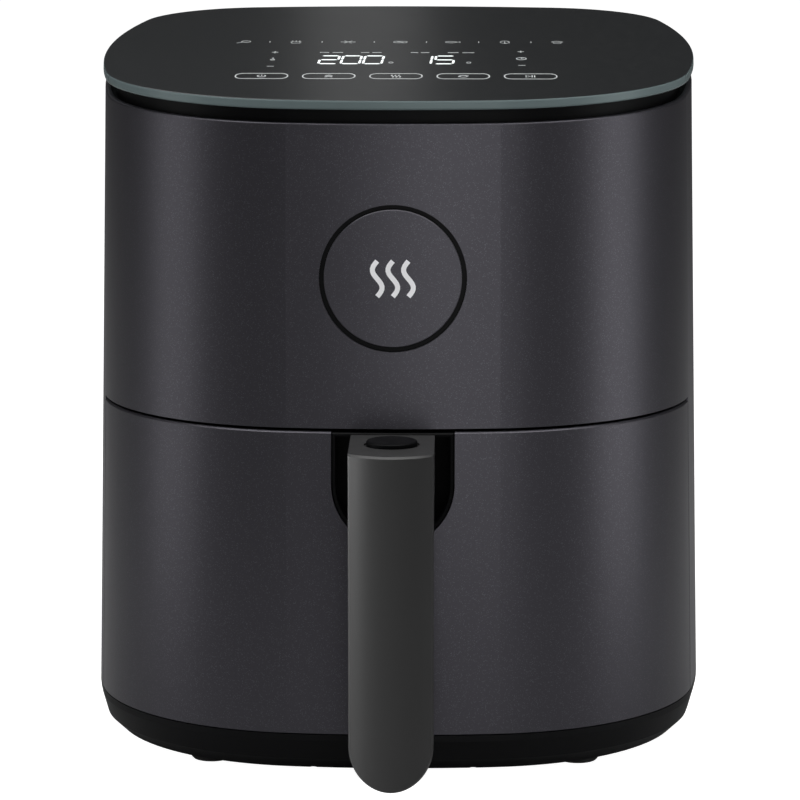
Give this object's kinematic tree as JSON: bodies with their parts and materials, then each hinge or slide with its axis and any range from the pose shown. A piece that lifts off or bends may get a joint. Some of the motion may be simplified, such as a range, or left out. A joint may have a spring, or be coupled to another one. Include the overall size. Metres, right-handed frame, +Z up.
{
  "type": "air fryer",
  "caption": "Compact basket air fryer with a squircle plan, sloping glass touch panel, round front badge and a pull-out drawer with a long vertical handle and a loose crisper plate",
  "frame": {"origin": "On the surface it stands on, at the centre of the whole footprint, handle and cord gland included", "axes": "+Z up; the drawer opens towards -Y; +X is to the right of someone facing the front"},
  "size_m": [0.2754, 0.3632, 0.3091],
  "materials": {
    "shell_paint": "satin metallic paint, dark grey",
    "black_plastic": "fine-textured black moulding",
    "handle_plastic": "smooth satin dark grey moulding",
    "panel_glass": "polished black tempered glass, greenish edge",
    "display_black": "glossy black display window",
    "rubber": "matt rubber",
    "silicone": "soft silicone",
    "zinc_steel": "zinc plated sheet steel",
    "fastener_steel": "plated steel",
    "bright_aluminium": "bright rolled aluminium",
    "nonstick": "speckled dark non-stick coating",
    "heater_sheath": "heat-toned steel tube",
    "ceramic": "unglazed ceramic",
    "insulation": "mica sheet",
    "laminated_steel": "stacked steel laminations",
    "copper": "enamelled copper wire",
    "bronze": "sintered bronze",
    "circuit_board": "green solder mask",
    "component_plastic": "mixed component cases",
    "fan_plastic": "grey nylon"
  },
  "bodies": {
    "housing": {"outer_shell": "shell_paint", "badge_disc": "shell_paint", "rear_grille": "black_plastic", "exhaust_duct": "black_plastic", "base_tray": "black_plastic", "front_bulkhead": "black_plastic", "top_bezel": "black_plastic", "board_carrier": "black_plastic", "badge_back": "black_plastic", "cord_gland": "black_plastic", "board_brackets": "black_plastic", "drawer_rails": "black_plastic", "interlock_switch": "component_plastic", "rubber_feet": "rubber", "touch_springs": "component_plastic", "base_screws": "fastener_steel", "board_screws": "fastener_steel", "motor_screws": "fastener_steel", "motor_spacers": "fastener_steel", "glass_panel": "panel_glass", "display_module": "display_black", "display_lens": "display_black", "control_board": "circuit_board", "power_board": "circuit_board", "power_parts": "component_plastic", "cavity_liner": "zinc_steel", "cavity_roof": "zinc_steel", "heater_dome": "zinc_steel", "fan_guard": "zinc_steel", "heating_element": "heater_sheath", "heater_terminals": "ceramic", "heat_shield": "insulation", "motor_bridge": "zinc_steel", "motor_stator": "laminated_steel", "motor_coils": "copper", "motor_frame": "zinc_steel", "motor_bushes": "bronze", "thermal_sensors": "zinc_steel"},
    "drawer": {"drawer_front": "shell_paint", "drawer_liner": "black_plastic", "handle_cup": "black_plastic", "handle_shell": "handle_plastic", "handle_back_cover": "handle_plastic", "handle_core": "zinc_steel", "handle_screws": "fastener_steel", "pan": "nonstick", "pan_bracket": "zinc_steel", "bracket_rivets": "fastener_steel", "button_spring": "fastener_steel"},
    "crisper": {"crisper_plate": "nonstick", "plate_loop": "nonstick", "plate_bumpers": "silicone"},
    "button": {"release_button": "black_plastic", "latch_hook": "zinc_steel"},
    "fan_rotor": {"hot_fan": "bright_aluminium", "hub_nut": "fastener_steel", "motor_shaft": "fastener_steel", "cooling_fan": "fan_plastic", "motor_rotor": "laminated_steel"},
    "plunger": {"switch_plunger": "component_plastic"}
  },
  "joints": [
    {"name": "drawer_slide", "type": "slide", "parent": "housing", "child": "drawer", "axis": [0, -1, 0], "range_m": [0, 0.28]},
    {"name": "crisper_lift", "type": "slide", "parent": "drawer", "child": "crisper", "axis": [0, 0, 1], "range_m": [0, 0.095]},
    {"name": "button_press", "type": "slide", "parent": "drawer", "child": "button", "axis": [0, 0, -1], "range_m": [0, 0.002], "stiffness_N_per_m": 1500, "springref_m": -0.002, "deforming": ["button_spring"]},
    {"name": "fan_spin", "type": "hinge", "parent": "housing", "child": "fan_rotor", "pos_m": [0, -0.00056, 0.198], "axis": [0, 0, 1], "continuous": true},
    {"name": "plunger_press", "type": "slide", "parent": "housing", "child": "plunger", "axis": [0, -1, 0], "range_m": [0, 0.002]}
  ],
  "couplings": [
    {"joint": "plunger_press", "follows": "drawer_slide", "ratio": 0.007136}
  ]
}
